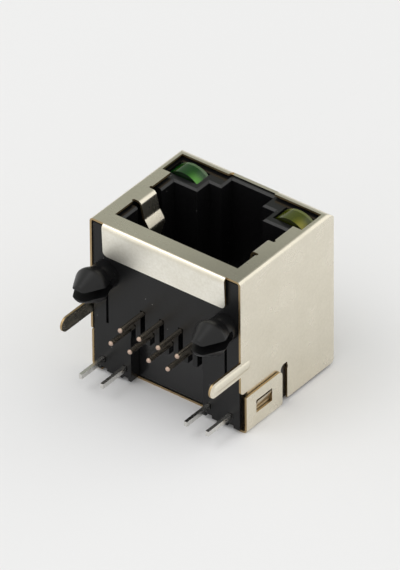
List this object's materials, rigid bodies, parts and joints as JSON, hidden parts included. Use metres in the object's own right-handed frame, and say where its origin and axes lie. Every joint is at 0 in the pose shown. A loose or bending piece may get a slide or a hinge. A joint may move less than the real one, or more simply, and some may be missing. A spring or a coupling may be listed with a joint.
{
  "type": "shielded modular board jack",
  "caption": "Upright shielded modular network jack for a circuit board, with snap pegs, solder tails and a lamp on each side of the latch slot.",
  "frame": {"origin": "middle of the rear panel's outer face", "axes": "+Z from the rear panel to the mouth, -Y towards the circuit board, +X across"},
  "size_m": [0.0168, 0.0175, 0.0159],
  "materials": {
    "nickel_sheet": "satin nickel plate, brass-coloured cut edges",
    "black_plastic": "moulded, semi-gloss black",
    "contact_wire": "drawn wire",
    "tinned_lead": "tinned",
    "green_lens": "tinted translucent epoxy",
    "yellow_lens": "tinted translucent epoxy"
  },
  "bodies": {
    "root": {"shield": "nickel_sheet", "housing": "black_plastic", "contact_carrier": "black_plastic", "contact_1": "contact_wire", "contact_2": "contact_wire", "contact_3": "contact_wire", "contact_4": "contact_wire", "contact_5": "contact_wire", "contact_6": "contact_wire", "contact_7": "contact_wire", "contact_8": "contact_wire", "left_lamp": "green_lens", "right_lamp": "yellow_lens", "left_outer_lead": "tinned_lead", "left_inner_lead": "tinned_lead", "right_inner_lead": "tinned_lead", "right_outer_lead": "tinned_lead"}
  },
  "joints": []
}
